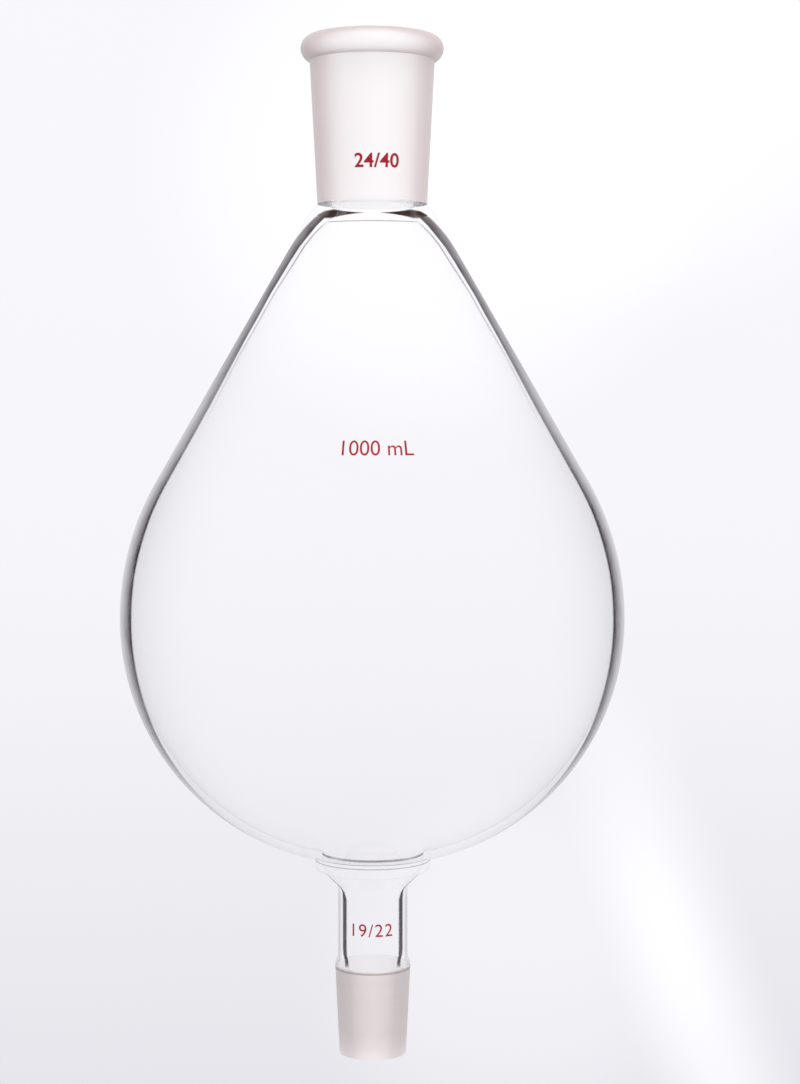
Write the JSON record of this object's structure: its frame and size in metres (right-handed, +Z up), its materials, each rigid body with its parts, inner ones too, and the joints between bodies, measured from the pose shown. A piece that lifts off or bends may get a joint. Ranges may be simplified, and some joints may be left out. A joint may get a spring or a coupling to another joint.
{
  "type": "dropping funnel",
  "caption": "Pear-shaped glass dropping funnel body with a ground socket at the top and a ground cone at the bottom, which feeds liquid into a flask below.",
  "frame": {"origin": "on the axis, at the large end of the lower ground cone, where the mating socket's rim comes to rest", "axes": "+Z up along the axis, from the cone to the socket; the round part has no front, and the printed marks face -Y"},
  "size_m": [0.1244, 0.1244, 0.252],
  "materials": {
    "ground_glass": "ground, translucent white",
    "clear_glass": "clear and polished"
  },
  "bodies": {
    "root": {"top_socket": "ground_glass", "upper_bulb": "clear_glass", "lower_bulb": "clear_glass", "drain_stem": "clear_glass", "lower_cone": "ground_glass"}
  },
  "joints": []
}
